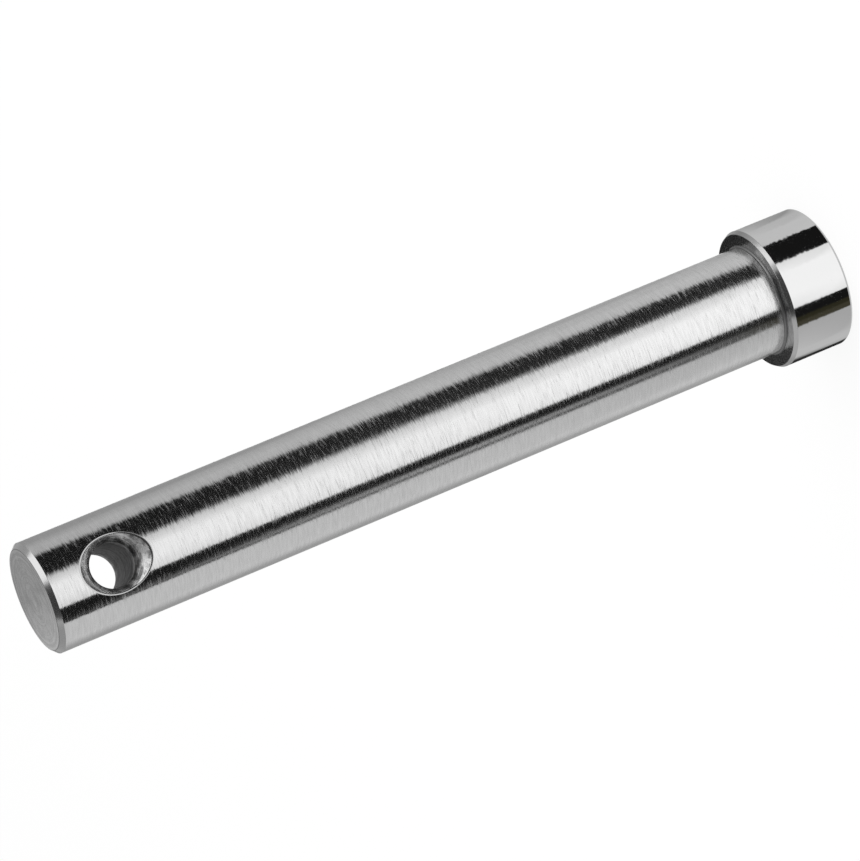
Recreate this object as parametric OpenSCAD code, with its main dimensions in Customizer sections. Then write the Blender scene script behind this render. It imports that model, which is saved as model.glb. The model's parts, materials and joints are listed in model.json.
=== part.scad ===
// Pulley shaft: a headed steel pin that a pulley turns on, turned from one bar,
// with a countersunk cross hole near its free end for a retaining clip.
// It stands on its head: the origin is the centre of the head's outer face, and
// the axis runs up +Z to the free end. The cross hole runs along Y.

/* [Shank] */
// Diameter of the shank that the pulley turns on
shank_d = 14; // [8:0.5:30]
// Length of the shank, from under the head to the free end
shank_len = 100; // [60:1:200]
// Size of the 45 degree chamfer on the free end
tip_chamfer = 0.6; // [0.2:0.1:1.5]

/* [Head] */
// Length of the head along the axis
head_len = 8.5; // [4:0.5:20]
// Width of the shoulder all round the shank, under the head
shoulder_w = 2; // [1:0.1:6]
// Length along the axis of the chamfer on the shoulder's outer edge
shoulder_chamfer_len = 0.5; // [0.1:0.1:1.5]
// Depth of that chamfer, taken off the head's radius
shoulder_chamfer_depth = 0.3; // [0.1:0.05:0.5]
// Size of the small break on the edge of the head's outer face
back_break = 0.2; // [0.1:0.05:1]
// Radius left by the tool in the corner between shank and shoulder
corner_r = 0.3; // [0.1:0.05:0.4]

/* [Cross hole] */
// Diameter of the cross hole
hole_d = 5.5; // [2:0.1:7]
// Distance from the free end to the centre of the cross hole
hole_to_tip = 9; // [6.5:0.5:30]
// Width of each countersink outside the hole, where the shank stands highest
sink_w = 1.75; // [0.2:0.05:2]
// Full angle of the countersinks
sink_angle = 90; // [60:5:120]

/* [Hidden] */
shank_r = shank_d / 2;
head_r = shank_r + shoulder_w;
total_len = head_len + shank_len;
hole_r = hole_d / 2;
hole_z = total_len - hole_to_tip;
// How fast a countersink widens on its way out
sink_slope = tan(sink_angle / 2);
sink_depth = sink_w / sink_slope;
// How far the hole's cutters reach past the shank
overshoot = 1;
$fn = 128;

// Half of the section through the axis: head, shoulder, shank and free end
module turned_section() {
    polygon([
        [0, 0],
        [head_r - back_break, 0],
        [head_r, back_break],
        [head_r, head_len - shoulder_chamfer_len],
        [head_r - shoulder_chamfer_depth, head_len],
        [shank_r, head_len],
        [shank_r, total_len - tip_chamfer],
        [shank_r - tip_chamfer, total_len],
        [0, total_len],
    ]);
}

// The round corner under the head, as the nose of the turning tool leaves it.
// It reaches back over both of the corner's walls, so that it joins them.
module corner_section() {
    difference() {
        translate([shank_r - corner_r, head_len - corner_r])
            square(2 * corner_r);
        translate([shank_r + corner_r, head_len + corner_r])
            circle(corner_r);
    }
}

// The cone that a countersink cuts where the hole comes out of the shank
module sink_cutter() {
    translate([0, 0, shank_r - sink_depth])
        cylinder(
            h = sink_depth + overshoot,
            r1 = hole_r,
            r2 = hole_r + sink_w + overshoot * sink_slope
        );
}

// All that the drill and the countersinks take away, about the hole's own axis
module cross_hole_cutter() {
    cylinder(h = shank_d + 2 * overshoot, r = hole_r, center = true);
    for (side = [0, 180])
        rotate([side, 0, 0]) sink_cutter();
}

module pulley_shaft() {
    color("#C6C8CA")
        difference() {
            rotate_extrude() {
                turned_section();
                corner_section();
            }
            translate([0, 0, hole_z])
                rotate([90, 0, 0]) cross_hole_cutter();
        }
}

pulley_shaft();
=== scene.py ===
import json
import math

import bmesh
import bpy
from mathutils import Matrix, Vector


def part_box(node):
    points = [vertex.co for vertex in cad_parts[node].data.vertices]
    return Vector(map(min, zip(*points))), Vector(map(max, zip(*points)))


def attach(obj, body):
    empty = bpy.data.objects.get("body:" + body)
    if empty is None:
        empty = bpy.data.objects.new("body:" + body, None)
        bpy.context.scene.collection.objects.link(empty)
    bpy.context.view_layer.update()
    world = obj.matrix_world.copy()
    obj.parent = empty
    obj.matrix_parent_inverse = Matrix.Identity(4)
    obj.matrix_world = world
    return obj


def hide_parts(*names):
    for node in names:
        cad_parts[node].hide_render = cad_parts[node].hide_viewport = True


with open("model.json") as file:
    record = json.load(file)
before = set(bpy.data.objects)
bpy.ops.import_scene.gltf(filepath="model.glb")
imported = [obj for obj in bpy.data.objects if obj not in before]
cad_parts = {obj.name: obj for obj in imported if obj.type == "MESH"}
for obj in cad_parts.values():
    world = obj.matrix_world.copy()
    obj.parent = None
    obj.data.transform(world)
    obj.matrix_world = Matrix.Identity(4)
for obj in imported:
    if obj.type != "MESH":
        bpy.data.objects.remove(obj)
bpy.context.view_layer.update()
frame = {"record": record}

# The turned pin. One steel bar is turned to a head, a shoulder, a long shank and a free end,
# all round the same axis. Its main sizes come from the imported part, and the small breaks and
# corners that the part's mounts don't state are named here. Lengths are in metres.
MM = 0.001
mounts = {mount["name"]: mount for mount in frame["record"]["mounts"]}
shank_r = mounts["shank"]["dims"]["r_mm"] * MM
head_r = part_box("pulley_shaft")[1].x
head_len = mounts["shoulder"]["pos_m"][2]
total_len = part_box("pulley_shaft")[1].z
back_break = 0.2 * MM
shoulder_chamfer_len = 0.5 * MM
shoulder_chamfer_depth = 0.3 * MM
corner_r = 0.3 * MM
tip_chamfer = 0.6 * MM
# Radius that deburring leaves on the turned edges, and the larger one that use leaves at the tip
edge_r = 0.06 * MM
worn_r = 0.12 * MM

FINISHES = ["faced", "edge", "head", "shank", "drilled", "corner"]
# Corners of half the section: radius, height, rounding, and the finishes of that rounding and
# of the face that follows it
section_corners = [
    (0, 0, 0, "faced", "faced"),
    (head_r - back_break, 0, edge_r, "edge", "head"),
    (head_r, back_break, edge_r, "head", "head"),
    (head_r, head_len - shoulder_chamfer_len, edge_r, "edge", "edge"),
    (head_r - shoulder_chamfer_depth, head_len, edge_r, "edge", "faced"),
    (shank_r, head_len, corner_r, "corner", "shank"),
    (shank_r, total_len - tip_chamfer, edge_r, "edge", "edge"),
    (shank_r - tip_chamfer, total_len, worn_r, "corner", "faced"),
    (0, total_len, 0, "faced", "faced"),
]
ROUNDING_STEPS = 5
AROUND = 256

pin_mesh = bmesh.new()
# The true surface normal at each vertex, in the order in which the vertices are made
pin_normals = []


def pin_vertex(place, normal):
    """A vertex of the pin. The normal that the true surface has there is kept beside it."""
    pin_normals.append(Vector(normal).normalized())
    return pin_mesh.verts.new(place)


def round_corner(before, corner, after, rounding):
    """Points of a rounded corner of the section, each with its outward normal."""
    way_in = (corner - before).normalized()
    way_out = (after - corner).normalized()
    turn = math.atan2(way_in.cross(way_out), way_in.dot(way_out))
    convex = math.copysign(1, turn)
    outward = Vector((way_in.y, -way_in.x))
    start = corner - way_in * rounding * math.tan(abs(turn) / 2)
    centre = start - convex * rounding * outward
    points = []
    for step in range(ROUNDING_STEPS + 1):
        angle = turn * step / ROUNDING_STEPS
        normal = Vector((
            outward.x * math.cos(angle) - outward.y * math.sin(angle),
            outward.x * math.sin(angle) + outward.y * math.cos(angle),
        ))
        points.append((centre + convex * rounding * normal, normal))
    return points


def turned_ring(radius, height, normal):
    """A ring of vertices about the pin's axis. The first one is on the -Y side."""
    ring = []
    for i in range(AROUND):
        x = math.sin(2 * math.pi * i / AROUND)
        y = -math.cos(2 * math.pi * i / AROUND)
        place = (radius * x, radius * y, height)
        ring.append(pin_vertex(place, (normal.x * x, normal.x * y, normal.y)))
    return ring


def join_rings(first, second, finish):
    """A band of faces between two closed rings with as many vertices each."""
    for i in range(len(first)):
        face = pin_mesh.faces.new((first[i - 1], first[i], second[i], second[i - 1]))
        face.material_index = FINISHES.index(finish)
        face.smooth = True


def close_ring(ring, height, upward):
    """The flat face inside a ring, from its centre out."""
    centre = pin_vertex((0, 0, height), (0, 0, upward))
    for i in range(len(ring)):
        face = pin_mesh.faces.new((ring[i - 1], ring[i], centre))
        face.material_index = FINISHES.index("faced")
        face.smooth = True


# The cross hole. It is drilled through the shank near the free end, along Y, for a clip, and
# countersunk from both sides, so that its rim on the round shank is a saddle-shaped oval.
hole_r = mounts["clip_hole"]["dims"]["r_mm"] * MM
hole_z = mounts["clip_hole"]["pos_m"][2]
sink_w = 1.75 * MM
sink_angle = math.radians(90)
# How fast a countersink widens on its way out
sink_slope = math.tan(sink_angle / 2)
sink_floor_y = shank_r - sink_w / sink_slope
# Width that deburring takes off the countersink's outer edge, and what wear rounds its inner one
rim_break = 0.15 * MM
inner_round = 0.6 * MM
# The band of the shank that the two mouths of the hole share. Its rings crowd towards the rim.
patch_half = 6.5 * MM
patch_low = hole_z - patch_half
patch_high = hole_z + patch_half
COLUMN_STEPS = 64
PATCH_RINGS = 16
PATCH_CROWDING = 1.5
# Bands of faces over a broken edge, over a countersink and along the drilled wall
EDGE_BANDS = 6
SINK_BANDS = 5
BORE_BANDS = 8
# Tries after which the width of the rim has settled
RIM_TRIES = 40


def rim_width(bearing):
    """Half the countersink's width where it meets the round shank, in that direction."""
    width = hole_r + sink_w
    for _ in range(RIM_TRIES):
        y = math.sqrt(shank_r**2 - (width * math.cos(bearing)) ** 2)
        width = hole_r + (y - sink_floor_y) * sink_slope
    return width


def on_shank(side, u, z):
    """A vertex on the shank, u round from the middle of the mouth on that side of Y."""
    x = math.sin(u / shank_r)
    y = side * math.cos(u / shank_r)
    return (shank_r * x, shank_r * y, z), (x, y, 0)


def on_sink(side, bearing, radius):
    """A point of the countersink's cone and its normal."""
    x = math.cos(bearing)
    z = math.sin(bearing)
    y = sink_floor_y + (radius - hole_r) / sink_slope
    return (radius * x, side * y, hole_z + radius * z), (-x, side * sink_slope, -z)


def on_bore(side, bearing, depth):
    """A point of the drilled wall, that far below the countersink, and its normal."""
    x = math.cos(bearing)
    z = math.sin(bearing)
    return (hole_r * x, side * (sink_floor_y - depth), hole_z + hole_r * z), (-x, 0, -z)


def broken_edge(start, corner, end, finish, ring):
    """Rings that round off an edge, from the last ring to the next face's first one."""
    for step in range(1, EDGE_BANDS + 1):
        t = step / EDGE_BANDS
        after = []
        for (p, n), c, (q, m) in zip(start, corner, end):
            place = Vector(p) * (1 - t) ** 2 + Vector(c) * 2 * t * (1 - t) + Vector(q) * t**2
            normal = Vector(n).normalized() * (1 - t) + Vector(m).normalized() * t
            after.append(pin_vertex(place, normal))
        join_rings(ring, after, finish)
        ring = after
    return ring


def hole_mouth(side, below, above, columns):
    """One mouth of the hole: the shank round it, its rim, countersink and inner edge.
    Gives back the innermost ring, and the direction of each of its vertices."""
    quarter = AROUND // 4
    across = range(-quarter, quarter + 1)
    index = {j: (j if side < 0 else AROUND // 2 - j) % AROUND for j in across}
    reach = shank_r * math.pi / 2
    edge = [(below[index[j]], j / quarter * reach, patch_low) for j in across]
    rise = (patch_high - patch_low) / COLUMN_STEPS
    for k in range(1, COLUMN_STEPS):
        edge.append((columns[1][k - 1], reach, patch_low + rise * k))
    edge += [(above[index[j]], j / quarter * reach, patch_high) for j in reversed(across)]
    for k in range(COLUMN_STEPS - 1, 0, -1):
        edge.append((columns[-1][k - 1], -reach, patch_low + rise * k))
    bearings = [math.atan2(z - hole_z, u) for _, u, z in edge]
    widths = [rim_width(bearing) for bearing in bearings]

    ring = [vertex for vertex, _, _ in edge]
    for step in range(PATCH_RINGS - 1, -1, -1):
        t = (step / PATCH_RINGS) ** PATCH_CROWDING
        spots = []
        for (_, u, z), bearing, width in zip(edge, bearings, widths):
            rim_u = shank_r * math.asin((width + rim_break) * math.cos(bearing) / shank_r)
            rim_z = hole_z + (width + rim_break) * math.sin(bearing)
            spots.append(on_shank(side, rim_u + (u - rim_u) * t, rim_z + (z - rim_z) * t))
        inner = [pin_vertex(*spot) for spot in spots]
        join_rings(ring, inner, "shank")
        ring = inner

    sharp = [on_sink(side, bearing, width)[0] for bearing, width in zip(bearings, widths)]
    cone = [on_sink(side, bearing, width - rim_break) for bearing, width in zip(bearings, widths)]
    ring = broken_edge(spots, sharp, cone, "edge", ring)
    for step in range(1, SINK_BANDS + 1):
        t = step / SINK_BANDS
        cone = [
            on_sink(side, bearing, (width - rim_break) * (1 - t) + (hole_r + inner_round) * t)
            for bearing, width in zip(bearings, widths)
        ]
        inner = [pin_vertex(*spot) for spot in cone]
        join_rings(ring, inner, "drilled")
        ring = inner
    sharp = [on_sink(side, bearing, hole_r)[0] for bearing in bearings]
    wall = [on_bore(side, bearing, inner_round) for bearing in bearings]
    return broken_edge(cone, sharp, wall, "drilled", ring), bearings


def cut_cross_hole(below, above):
    """The part of the shank that the hole goes through, between two rings of the shank."""
    heights = [
        patch_low + (patch_high - patch_low) * k / COLUMN_STEPS for k in range(1, COLUMN_STEPS)
    ]
    # The two mouths meet in a column of vertices at +X and in another at -X
    columns = {}
    for sign in (1, -1):
        columns[sign] = [pin_vertex((sign * shank_r, 0, z), (sign, 0, 0)) for z in heights]
    front, bearings = hole_mouth(-1, below, above, columns)
    back, _ = hole_mouth(1, below, above, columns)
    ring = front
    wall = 2 * (sink_floor_y - inner_round)
    for step in range(1, BORE_BANDS):
        depth = inner_round + wall * step / BORE_BANDS
        inner = [pin_vertex(*on_bore(-1, bearing, depth)) for bearing in bearings]
        join_rings(ring, inner, "drilled")
        ring = inner
    join_rings(ring, back, "drilled")


# The section is followed from the head's outer face up to the free end. The shank is built in
# bands up to the cross hole, then round the hole, and from there to its end.
SHANK_BANDS = 14
corners = [Vector(corner[:2]) for corner in section_corners]
ring = None
for i in range(1, len(section_corners) - 1):
    points = round_corner(corners[i - 1], corners[i], corners[i + 1], section_corners[i][2])
    for step, (place, normal) in enumerate(points):
        after = turned_ring(place.x, place.y, normal)
        if ring is None:
            close_ring(after, 0, -1)
        else:
            finish = section_corners[i][3] if step > 0 else section_corners[i - 1][4]
            if finish == "shank":
                start = corners[i - 1].y + corner_r
                for band in range(1, SHANK_BANDS + 1):
                    height = start + (patch_low - start) * band / SHANK_BANDS
                    between = turned_ring(shank_r, height, Vector((1, 0)))
                    join_rings(ring, between, "shank")
                    ring = between
                above = turned_ring(shank_r, patch_high, Vector((1, 0)))
                cut_cross_hole(ring, above)
                ring = above
            join_rings(ring, after, finish)
        ring = after
close_ring(ring, total_len, 1)
bmesh.ops.recalc_face_normals(pin_mesh, faces=pin_mesh.faces)

mesh = bpy.data.meshes.new("turned_pin")
pin_mesh.to_mesh(mesh)
pin_mesh.free()
mesh.normals_split_custom_set_from_vertices(pin_normals)
pin = bpy.data.objects.new("turned_pin", mesh)
bpy.context.scene.collection.objects.link(pin)
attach(pin, "root")
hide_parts("pulley_shaft")


# The finishes. All of it is bare carbon steel with a bright cut surface, and what differs is
# how each face was cut. Steel reflects a little over half of the light, nearly without colour.
def srgb(code):
    """A colour written as sRGB hex, as linear red, green, blue and alpha."""
    parts = [int(code[i:i + 2], 16) / 255 for i in (1, 3, 5)]
    return [c / 12.92 if c <= 0.04045 else ((c + 0.055) / 1.055) ** 2.4 for c in parts] + [1]


def add_node(tree, kind, inputs, **settings):
    """Adds a node. Each input is a plain value, or the output socket that feeds it."""
    node = tree.nodes.new(kind)
    for name, value in settings.items():
        setattr(node, name, value)
    for name, value in inputs.items():
        if isinstance(value, bpy.types.NodeSocket):
            tree.links.new(value, node.inputs[name])
        else:
            node.inputs[name].default_value = value
    return node


def new_material(name):
    """An empty material that shows its node tree's surface."""
    material = bpy.data.materials.new(name)
    material.use_nodes = True
    material.node_tree.nodes.clear()
    return material, material.node_tree


# Faced steel of the flat ends and the shoulder: a tool fed straight in leaves rings round the
# centre and tears the face a little between them, so that it looks satin and shows arcs. The
# rings vary its colour, partly as painted shade in their grooves. Its colour is also painted
# lighter towards -X, a painted shading across the face. Rings drawn 0.4 mm apart, coarser than
# real ones.
faced_steel, tree = new_material("faced_steel")
place = add_node(tree, "ShaderNodeTexCoord", {}).outputs["Object"]
flat = add_node(
    tree, "ShaderNodeVectorMath", {0: place, 1: (1, 1, 0)}, operation="MULTIPLY"
).outputs[0]
radius = add_node(tree, "ShaderNodeVectorMath", {0: flat}, operation="LENGTH").outputs["Value"]
rings_per_metre = 1 / (0.4 * MM)
rings = add_node(tree, "ShaderNodeTexNoise", {
    "W": radius, "Scale": rings_per_metre, "Detail": 2.0,
}, noise_dimensions="1D").outputs[0]
torn = add_node(tree, "ShaderNodeTexNoise", {
    "Vector": place, "Scale": 900, "Detail": 3.0,
}).outputs[0]
height = add_node(tree, "ShaderNodeMath", {0: rings, 1: torn}, operation="ADD").outputs[0]
cut = add_node(tree, "ShaderNodeBump", {
    "Strength": 0.5, "Distance": 0.05 * MM, "Height": height,
}).outputs[0]
# Tone of the rings and tears, partly painted shade in the grooves of the rings
shade = add_node(tree, "ShaderNodeMapRange", {
    "Value": height, "From Min": 0.8, "From Max": 1.2, "To Min": -0.15, "To Max": 0.25,
}).outputs[0]
across = add_node(tree, "ShaderNodeSeparateXYZ", {0: place}).outputs["X"]
# Painted shading: the face's colour is painted lighter towards -X and darker towards +X
painted_shading_ramp = add_node(tree, "ShaderNodeMapRange", {
    "Value": across, "From Min": -shank_r, "From Max": 1 * MM, "To Min": 0.85, "To Max": 0.05,
}).outputs[0]
share = add_node(tree, "ShaderNodeMath", {0: shade, 1: painted_shading_ramp}, operation="ADD").outputs[0]
tone = add_node(tree, "ShaderNodeMix", {
    "Factor": share, "A": srgb("#808080"), "B": srgb("#C0C0C0"),
}, data_type="RGBA").outputs[2]
round_axis = add_node(tree, "ShaderNodeTangent", {}, direction_type="RADIAL", axis="Z").outputs[0]
surface = add_node(tree, "ShaderNodeBsdfPrincipled", {
    "Base Color": tone, "Metallic": 1.0, "Roughness": 0.24, "Anisotropic": 0.4,
    "Anisotropic Rotation": 0.25, "Tangent": round_axis, "Normal": cut,
})
add_node(tree, "ShaderNodeOutputMaterial", {"Surface": surface.outputs[0]})

# Steel of the chamfers and broken edges: one quick cut that leaves a slightly duller band,
# in which the lamp draws a clean highlight
edge_steel, tree = new_material("edge_steel")
place = add_node(tree, "ShaderNodeTexCoord", {}).outputs["Object"]
grain = add_node(tree, "ShaderNodeTexNoise", {
    "Vector": place, "Scale": 1500, "Detail": 3.0,
}).outputs[0]
cut = add_node(tree, "ShaderNodeBump", {
    "Strength": 0.3, "Distance": 0.01 * MM, "Height": grain,
}).outputs[0]
surface = add_node(tree, "ShaderNodeBsdfPrincipled", {
    "Base Color": srgb("#A4A4A4"), "Metallic": 1.0, "Roughness": 0.2, "Normal": cut,
})
add_node(tree, "ShaderNodeOutputMaterial", {"Surface": surface.outputs[0]})

# Rubbed steel of the tight corner under the head and of the edge round the end face: the nose
# of the tool rubs there more than it cuts, which leaves a dull line that parts bright faces.
# Its colour is also painted darker than the other finishes', a painted shade in these corners.
rubbed_steel, tree = new_material("rubbed_steel")
place = add_node(tree, "ShaderNodeTexCoord", {}).outputs["Object"]
grain = add_node(tree, "ShaderNodeTexNoise", {
    "Vector": place, "Scale": 1200, "Detail": 3.0,
}).outputs[0]
cut = add_node(tree, "ShaderNodeBump", {
    "Strength": 0.4, "Distance": 0.02 * MM, "Height": grain,
}).outputs[0]
surface = add_node(tree, "ShaderNodeBsdfPrincipled", {
    # Painted shade: this base colour is darker than the other steels'
    "Base Color": srgb("#747474"), "Metallic": 1.0, "Roughness": 0.4, "Normal": cut,
})
add_node(tree, "ShaderNodeOutputMaterial", {"Surface": surface.outputs[0]})


def lean_round(tree, place, share, amount):
    """The surface normal, leaned round the pin's axis by a pattern, as fine streaks lean it."""
    round_way = add_node(
        tree, "ShaderNodeVectorMath", {0: (0, 0, 1), 1: place}, operation="CROSS_PRODUCT"
    ).outputs[0]
    unit = add_node(tree, "ShaderNodeVectorMath", {0: round_way}, operation="NORMALIZE").outputs[0]
    centred = add_node(tree, "ShaderNodeMath", {0: share, 1: 0.5}, operation="SUBTRACT").outputs[0]
    lean = add_node(
        tree, "ShaderNodeMath", {0: centred, 1: amount}, operation="MULTIPLY"
    ).outputs[0]
    tilt = add_node(
        tree, "ShaderNodeVectorMath", {0: unit, "Scale": lean}, operation="SCALE"
    ).outputs[0]
    normal = add_node(tree, "ShaderNodeNewGeometry", {}).outputs["Normal"]
    leaned = add_node(
        tree, "ShaderNodeVectorMath", {0: normal, 1: tilt}, operation="ADD"
    ).outputs[0]
    return add_node(tree, "ShaderNodeVectorMath", {0: leaned}, operation="NORMALIZE").outputs[0]


# Ground steel of the shank: emery cloth held against the turning bar leaves scratches round it,
# a few mm long, that break every reflection into combs. They are deepest on the side where the
# cloth pulled. Duller scuffs lie between them, and the shank is smoother towards its free end.
# The scratches are drawn 0.18 mm wide, coarser than real ones, so that they show at this size.
ground_steel, tree = new_material("ground_steel")
place = add_node(tree, "ShaderNodeTexCoord", {}).outputs["Object"]
streak_grid = (1 / (2.2 * MM), 1 / (2.2 * MM), 1 / (0.18 * MM))
grid = add_node(
    tree, "ShaderNodeVectorMath", {0: place, 1: streak_grid}, operation="MULTIPLY"
).outputs[0]
streaks = add_node(tree, "ShaderNodeTexNoise", {
    "Vector": grid, "Scale": 1.0, "Detail": 2.0, "Roughness": 0.6,
}).outputs[0]
across = add_node(tree, "ShaderNodeSeparateXYZ", {0: place}).outputs["X"]
depth = add_node(tree, "ShaderNodeMapRange", {
    "Value": across, "From Min": -3 * MM, "From Max": 2.5 * MM, "To Min": 0.05, "To Max": 0.21,
}).outputs[0]
ease = add_node(tree, "ShaderNodeMapRange", {
    "Value": across, "From Min": 3.4 * MM, "From Max": 5.0 * MM, "To Min": 1.0, "To Max": 0.5,
}).outputs[0]
depth = add_node(tree, "ShaderNodeMath", {0: depth, 1: ease}, operation="MULTIPLY").outputs[0]
normal = lean_round(tree, place, streaks, depth)
scuffs = add_node(tree, "ShaderNodeTexNoise", {
    "Vector": grid, "Scale": 1.4, "Detail": 1.0,
}).outputs[0]
dull = add_node(tree, "ShaderNodeMapRange", {
    "Value": scuffs, "From Min": 0.48, "From Max": 0.76, "To Min": 0.16, "To Max": 0.40,
}).outputs[0]
up = add_node(tree, "ShaderNodeSeparateXYZ", {0: place}).outputs["Z"]
wear = add_node(tree, "ShaderNodeMapRange", {
    "Value": up, "From Min": 70 * MM, "From Max": 104 * MM, "To Min": 1.0, "To Max": 0.75,
}).outputs[0]
dull = add_node(tree, "ShaderNodeMath", {0: dull, 1: wear}, operation="MULTIPLY").outputs[0]
sheen = add_node(tree, "ShaderNodeMapRange", {
    "Value": streaks, "From Min": 0.35, "From Max": 0.65,
}).outputs[0]
tone = add_node(tree, "ShaderNodeMix", {
    "Factor": sheen, "A": srgb("#B6B6B6"), "B": srgb("#C0C0C0"),
}, data_type="RGBA").outputs[2]
round_axis = add_node(tree, "ShaderNodeTangent", {}, direction_type="RADIAL", axis="Z").outputs[0]
surface = add_node(tree, "ShaderNodeBsdfPrincipled", {
    "Base Color": tone, "Metallic": 1.0, "Roughness": dull, "Anisotropic": 0.8,
    "Anisotropic Rotation": 0.25, "Tangent": round_axis, "Normal": normal,
})
add_node(tree, "ShaderNodeOutputMaterial", {"Surface": surface.outputs[0]})

# Polished steel of the head: the same bar, polished further. It mirrors like glass, and a few
# marks left round it fray the edges of what it mirrors, more so towards +X. They are drawn
# 0.3 mm wide, coarser than real ones.
polished_steel, tree = new_material("polished_steel")
place = add_node(tree, "ShaderNodeTexCoord", {}).outputs["Object"]
streak_grid = (1 / (1.0 * MM), 1 / (1.0 * MM), 1 / (0.3 * MM))
grid = add_node(
    tree, "ShaderNodeVectorMath", {0: place, 1: streak_grid}, operation="MULTIPLY"
).outputs[0]
streaks = add_node(tree, "ShaderNodeTexNoise", {
    "Vector": grid, "Scale": 1.0, "Detail": 3.0, "Roughness": 0.6,
}).outputs[0]
across = add_node(tree, "ShaderNodeSeparateXYZ", {0: place}).outputs["X"]
depth = add_node(tree, "ShaderNodeMapRange", {
    "Value": across, "From Min": -head_r, "From Max": head_r, "To Min": 0.02, "To Max": 0.13,
}).outputs[0]
normal = lean_round(tree, place, streaks, depth)
marks = add_node(tree, "ShaderNodeTexNoise", {
    "Vector": grid, "Scale": 2.2, "Detail": 2.0,
}).outputs[0]
dull = add_node(tree, "ShaderNodeMapRange", {
    "Value": marks, "From Min": 0.66, "From Max": 0.80, "To Min": 0.10, "To Max": 0.36,
}).outputs[0]
round_axis = add_node(tree, "ShaderNodeTangent", {}, direction_type="RADIAL", axis="Z").outputs[0]
surface = add_node(tree, "ShaderNodeBsdfPrincipled", {
    "Base Color": srgb("#BABABA"), "Metallic": 1.0, "Roughness": dull, "Anisotropic": 0.6,
    "Anisotropic Rotation": 0.25, "Tangent": round_axis, "Normal": normal,
})
add_node(tree, "ShaderNodeOutputMaterial", {"Surface": surface.outputs[0]})

# Drilled steel of the hole and its countersinks: the lips of the drill tear rings round the
# hole's own axis, which runs along Y. The wall inside has painted shade: its colour is painted
# darker than the cones', going deeper into the hole. Rings drawn 1.3 mm apart, coarser than
# real ones.
drilled_steel, tree = new_material("drilled_steel")
place = add_node(tree, "ShaderNodeTexCoord", {}).outputs["Object"]
along = add_node(tree, "ShaderNodeSeparateXYZ", {0: place}).outputs["Y"]
rings_per_metre = 1 / (1.3 * MM)
rings = add_node(tree, "ShaderNodeTexNoise", {
    "W": along, "Scale": rings_per_metre, "Detail": 4.0, "Roughness": 0.7,
}, noise_dimensions="1D").outputs[0]
torn = add_node(tree, "ShaderNodeTexNoise", {
    "Vector": place, "Scale": 1000, "Detail": 3.0,
}).outputs[0]
height = add_node(tree, "ShaderNodeMath", {0: rings, 1: torn}, operation="ADD").outputs[0]
cut = add_node(tree, "ShaderNodeBump", {
    "Strength": 0.7, "Distance": 0.14 * MM, "Height": height,
}).outputs[0]
# Painted shade: the colour is painted dark deep in the hole and lighter towards its mouths
depth = add_node(tree, "ShaderNodeMath", {0: along}, operation="ABSOLUTE").outputs[0]
outward = add_node(tree, "ShaderNodeMapRange", {
    "Value": depth, "From Min": 3.6 * MM, "From Max": 5.6 * MM,
}).outputs[0]
tone = add_node(tree, "ShaderNodeMix", {
    "Factor": outward, "A": srgb("#343434"), "B": srgb("#B4B4B4"),
}, data_type="RGBA").outputs[2]
shade = add_node(tree, "ShaderNodeMapRange", {
    "Value": height, "From Min": 0.88, "From Max": 1.12, "To Min": 0.4, "To Max": 1.6,
}).outputs[0]
tone = add_node(
    tree, "ShaderNodeVectorMath", {0: tone, "Scale": shade}, operation="SCALE"
).outputs[0]
surface = add_node(tree, "ShaderNodeBsdfPrincipled", {
    "Base Color": tone, "Metallic": 1.0, "Roughness": 0.5, "Normal": cut,
})
add_node(tree, "ShaderNodeOutputMaterial", {"Surface": surface.outputs[0]})

# In the order of FINISHES
for material in (
    faced_steel, edge_steel, polished_steel, ground_steel, drilled_steel, rubbed_steel,
):
    pin.data.materials.append(material)

# The camera: 20 degrees above the floor and a little off the line of the cross hole, rolled so
# that the pin lies across the picture with its free end low on the left and nearest to us.
camera_data = bpy.data.cameras.new("camera")
camera_data.lens = 215.85
camera_data.sensor_width = 36
camera = bpy.data.objects.new("camera", camera_data)
bpy.context.scene.collection.objects.link(camera)
camera.location = (-0.03061, -0.58526, 0.26836)
camera.rotation_euler = [math.radians(angle) for angle in (-46.4327, 60.2068, -143.5111)]
bpy.context.scene.camera = camera
bpy.context.scene.view_settings.view_transform = "Standard"

# The floor: one pale sheet under the pin, wide enough to fill every view. It is seen, and
# mirrored in the steel, as white, and keeps a little of its own shading for the pin's shadow.
floor_half = 4.0
# How far the sheet is plain white where it is seen or mirrored. The rest is lit paper.
floor_white = 0.85
floor_mesh = bpy.data.meshes.new("floor")
floor_corners = [
    (x * floor_half, y * floor_half, 0) for x, y in ((-1, -1), (1, -1), (1, 1), (-1, 1))
]
floor_mesh.from_pydata(floor_corners, [], [(0, 1, 2, 3)])
floor = bpy.data.objects.new("floor", floor_mesh)
bpy.context.scene.collection.objects.link(floor)
pale_sheet, tree = new_material("pale_sheet")
ray = add_node(tree, "ShaderNodeLightPath", {}).outputs
seen = ray["Is Camera Ray"]
for other in ("Is Glossy Ray", "Is Transmission Ray"):
    seen = add_node(
        tree, "ShaderNodeMath", {0: seen, 1: ray[other]}, operation="MAXIMUM"
    ).outputs[0]
share = add_node(tree, "ShaderNodeMath", {0: seen, 1: floor_white}, operation="MULTIPLY").outputs[0]
paper = add_node(tree, "ShaderNodeBsdfDiffuse", {"Color": srgb("#F4F4F4")}).outputs[0]
white = add_node(tree, "ShaderNodeEmission", {
    "Color": srgb("#FFFFFF"), "Strength": 1.0,
}).outputs[0]
surface = add_node(tree, "ShaderNodeMixShader", {0: share, 1: paper, 2: white}).outputs[0]
add_node(tree, "ShaderNodeOutputMaterial", {"Surface": surface})
floor_mesh.materials.append(pale_sheet)

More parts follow.
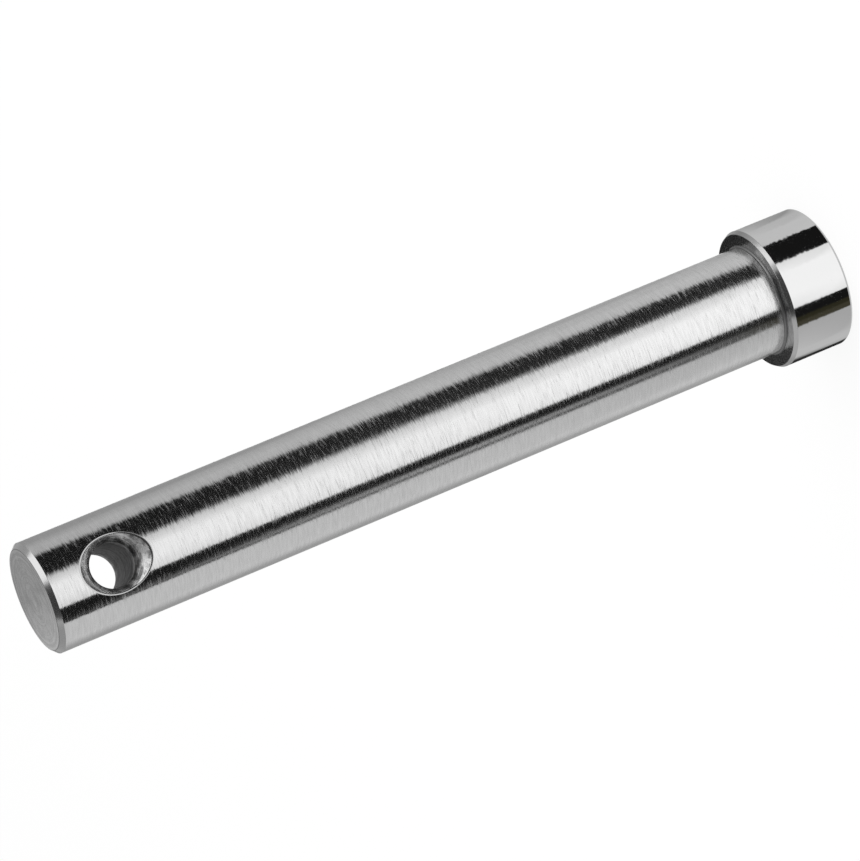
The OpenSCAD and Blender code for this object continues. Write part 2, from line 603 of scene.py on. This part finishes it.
# The air round the pin is even white light, as in a white tent
tent = bpy.data.worlds.new("white_tent")
tent.use_nodes = True
tent.node_tree.nodes.clear()
white = add_node(tent.node_tree, "ShaderNodeBackground", {
    "Color": srgb("#FFFFFF"), "Strength": 1.0,
}).outputs[0]
add_node(tent.node_tree, "ShaderNodeOutputWorld", {"Surface": white})
bpy.context.scene.world = tent

# The cards: a white reflector between two black flags, laid round the pin and stood up at
# their far ends. Only the steel sees them: bright metal shows its roundness by what it mirrors.
card_paint, tree = new_material("card_paint")
paint = add_node(tree, "ShaderNodeAttribute", {}, attribute_name="shade").outputs["Color"]
glow = add_node(tree, "ShaderNodeEmission", {"Color": paint, "Strength": 1.0}).outputs[0]
add_node(tree, "ShaderNodeOutputMaterial", {"Surface": glow})
CARD_LIFT = 0.3 * MM


def card(name, rows):
    """A card through rows of points, each with its brightness. Only mirror reflections see it."""
    places = [place for row in rows for place, _ in row]
    shades = [shade for row in rows for _, shade in row]
    wide = len(rows[0])
    faces = []
    for i in range(len(rows) - 1):
        for j in range(wide - 1):
            first = i * wide + j
            faces.append((first, first + 1, first + wide + 1, first + wide))
    card_mesh = bpy.data.meshes.new(name)
    card_mesh.from_pydata(places, [], faces)
    layer = card_mesh.attributes.new("shade", "FLOAT_COLOR", "POINT")
    for i, shade in enumerate(shades):
        colour = shade if isinstance(shade, tuple) else (shade, shade, shade)
        layer.data[i].color = (*colour, 1)
    card_mesh.materials.append(card_paint)
    sheet = bpy.data.objects.new(name, card_mesh)
    bpy.context.scene.collection.objects.link(sheet)
    sheet.visible_camera = False
    sheet.visible_diffuse = False
    sheet.visible_transmission = False
    sheet.visible_shadow = False


to_camera = Vector((camera.location.x, camera.location.y, 0)).normalized()
picture_down = Vector((to_camera.y, -to_camera.x, 0))


def mirrored_spot(height, radius, share):
    """Where the floor lies that the camera sees mirrored at this height on the pin, that share
    of the way across it, from 0 at the picture's upper edge to 1 at the lower one."""
    sideways = 2 * share - 1
    normal = to_camera * math.sqrt(1 - sideways**2) + picture_down * sideways
    place = Vector((0, 0, height)) + radius * normal
    sight = (camera.location - place).normalized()
    way = 2 * normal.dot(sight) * normal - sight
    return place + way * (height - CARD_LIFT) / -way.z


# Foot and top of the head, then foot, middle and free end of the shank
mirror_places = [
    (CARD_LIFT, head_r),
    (8 * MM, head_r),
    (14 * MM, shank_r),
    (60 * MM, shank_r),
    (106 * MM, shank_r),
]
# The flags, the two brownish strips beyond the lower one that the head shows, and the dim gap
# beside them that shows in the shank's foot
BLACK = 0.014
BROWN = (0.045, 0.042, 0.024)
OLIVE = (0.085, 0.078, 0.052)
DIM = 0.13
# For each line that runs outward over the cards: its share across the pin at those places,
# and its brightness there. Close pairs of lines are sharp edges.
card_lines = [
    ((0.003, 0.003, 0.003, 0.003, 0.003), (0.40, 0.40, 0.52, 0.44, 0.36)),
    ((0.050, 0.050, 0.050, 0.050, 0.050), (0.82, 0.82, 0.80, 0.76, 0.52)),
    ((0.100, 0.100, 0.100, 0.100, 0.100), (0.99, 0.99, 0.94, 0.89, 0.74)),
    ((0.178, 0.178, 0.158, 0.153, 0.150), (1.03, 1.03, 0.94, 0.88, 0.70)),
    ((0.184, 0.184, 0.186, 0.183, 0.176), (BLACK, BLACK, BLACK, BLACK, BLACK)),
    ((0.319, 0.319, 0.290, 0.308, 0.342), (BLACK, BLACK, 0.05, 0.05, BLACK)),
    ((0.328, 0.328, 0.328, 0.346, 0.374), (1.45, 1.45, 1.34, 1.18, 1.06)),
    ((0.400, 0.400, 0.430, 0.450, 0.450), (1.78, 1.78, 1.80, 1.68, 1.58)),
    ((0.560, 0.560, 0.560, 0.560, 0.560), (1.80, 1.80, 1.75, 1.65, 1.60)),
    ((0.650, 0.650, 0.648, 0.648, 0.645), (1.55, 1.55, 1.60, 1.55, 1.28)),
    ((0.657, 0.657, 0.657, 0.656, 0.652), (BLACK, BLACK, BLACK, BLACK, BLACK)),
    ((0.712, 0.712, 0.712, 0.722, 0.758), (BLACK, BLACK, 0.05, BLACK, BLACK)),
    ((0.722, 0.722, 0.722, 0.728, 0.762), (BROWN, BROWN, DIM, 0.80, BLACK)),
    ((0.740, 0.740, 0.742, 0.750, 0.766), (BROWN, BROWN, DIM, 0.80, BLACK)),
    ((0.750, 0.750, 0.750, 0.756, 0.770), (OLIVE, OLIVE, DIM, 0.12, BLACK)),
    ((0.775, 0.775, 0.772, 0.772, 0.775), (OLIVE, OLIVE, DIM, 0.12, BLACK)),
    ((0.781, 0.781, 0.779, 0.777, 0.781), (0.72, 0.76, 0.80, 0.98, 0.97)),
    ((0.930, 0.930, 0.930, 0.930, 0.930), (0.88, 0.93, 0.99, 0.99, 0.96)),
    ((0.966, 0.966, 0.968, 0.968, 0.968), (0.80, 0.82, 0.62, 0.60, 0.58)),
    ((0.982, 0.982, 0.985, 0.985, 0.985), (0.03, 0.03, 0.48, 0.46, 0.44)),
    ((0.999, 0.999, 0.999, 0.999, 0.999), (0.03, 0.03, 0.44, 0.42, 0.40)),
]
floor_rows = []
for i, (height, radius) in enumerate(mirror_places):
    floor_rows.append([
        (mirrored_spot(height, radius, shares[i]), shades[i]) for shares, shades in card_lines
    ])
# How high the cards stand up at their far ends
wall_height = 165 * MM
wall_top = Vector((0, 0, wall_height))
floor_rows.append([(place + wall_top, shade) for place, shade in floor_rows[-1]])
card("sweep", floor_rows)

# The stood cards: a dark one in front, which the end face mirrors, a small dark one behind for
# the shoulder, and a pale one all round the back. Each is bent from this many flat columns.
CARD_COLUMNS = 12


def stood_card(name, edges, shade):
    """A card through edges, each a distance from the pin, a height in millimetres, and its
    bearings: degrees round from the camera's side, towards the picture's lower edge."""
    rows = []
    for distance, height, first, last in edges:
        row = []
        for step in range(CARD_COLUMNS + 1):
            turn = math.radians(first + (last - first) * step / CARD_COLUMNS)
            way = to_camera * math.cos(turn) + picture_down * math.sin(turn)
            row.append((way * distance * MM + Vector((0, 0, height * MM)), shade))
        rows.append(row)
    card(name, rows)


stood_card("dark_room", [
    (386, 112, -30, 38), (300, 250, -34, 58), (150, 380, -38, 96), (15, 430, -42, 118),
], 0.09)
stood_card("back_flag", [(34, 38, 146, 214), (78, 21.6, 156, 204)], 0.03)
stood_card("back_card", [(200, 112, 96, 242), (200, 560, 96, 242)], 0.66)

# The lamp: one soft box high on the right, which gives the chamfers their highlight
lamp_data = bpy.data.lights.new("soft_box", "AREA")
lamp_data.shape = "RECTANGLE"
lamp_data.size = 0.52
lamp_data.size_y = 0.52
# In the same unit as the brightness of the cards
lamp_radiance = 1.15
lamp_data.energy = lamp_radiance * math.pi * lamp_data.size * lamp_data.size_y
lamp = bpy.data.objects.new("soft_box", lamp_data)
bpy.context.scene.collection.objects.link(lamp)
lamp.location = (0.32, -0.085, 0.41)
lamp_aim = Vector((0, 0, 0.10))
lamp.rotation_euler = (lamp_aim - lamp.location).to_track_quat("-Z", "Y").to_euler()
lamp.visible_camera = False
